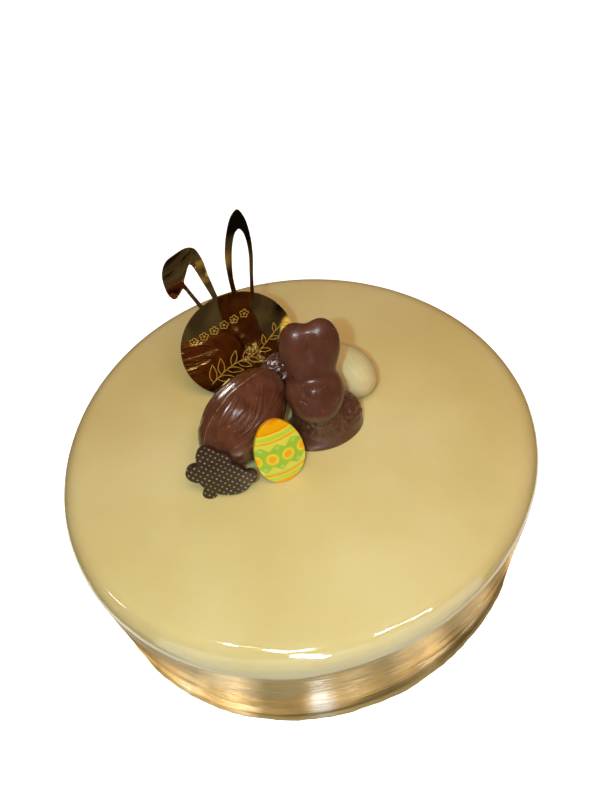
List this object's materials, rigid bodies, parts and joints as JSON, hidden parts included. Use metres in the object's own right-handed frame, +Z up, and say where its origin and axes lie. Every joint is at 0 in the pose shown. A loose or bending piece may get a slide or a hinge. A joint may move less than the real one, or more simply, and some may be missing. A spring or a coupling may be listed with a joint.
{
  "type": "entremet",
  "caption": "Round mirror-glazed mousse cake decorated with chocolate eggs, a moulded chocolate bunny, flat plaques and a gold ear-shaped topper.",
  "frame": {"origin": "middle of the cake's underside, on the surface that it rests on", "axes": "+Z up; -Y towards the front, the side that the bunny faces; +X to the right seen from the front"},
  "size_m": [0.1868, 0.185, 0.1299],
  "materials": {
    "yellow_mirror_glaze": "glossy poured glaze, cream yellow",
    "gold_mirror_acrylic": "polished gold mirror",
    "milk_chocolate": "glossy moulded milk chocolate",
    "bunny_milk_chocolate": "satin moulded milk chocolate",
    "crinkled_chocolate": "glossy crinkled chocolate",
    "white_chocolate": "satin white chocolate",
    "printed_white_chocolate": "printed with yellow, green and orange bands",
    "dotted_dark_chocolate": "satin dark chocolate with cream dots"
  },
  "bodies": {
    "root": {"cake": "yellow_mirror_glaze", "ear_topper": "gold_mirror_acrylic", "milk_chocolate_egg": "milk_chocolate", "chocolate_bunny": "bunny_milk_chocolate", "small_chocolate_egg": "crinkled_chocolate", "white_chocolate_egg": "white_chocolate", "printed_egg_plaque": "printed_white_chocolate", "dotted_animal_plaque": "dotted_dark_chocolate"}
  },
  "joints": []
}
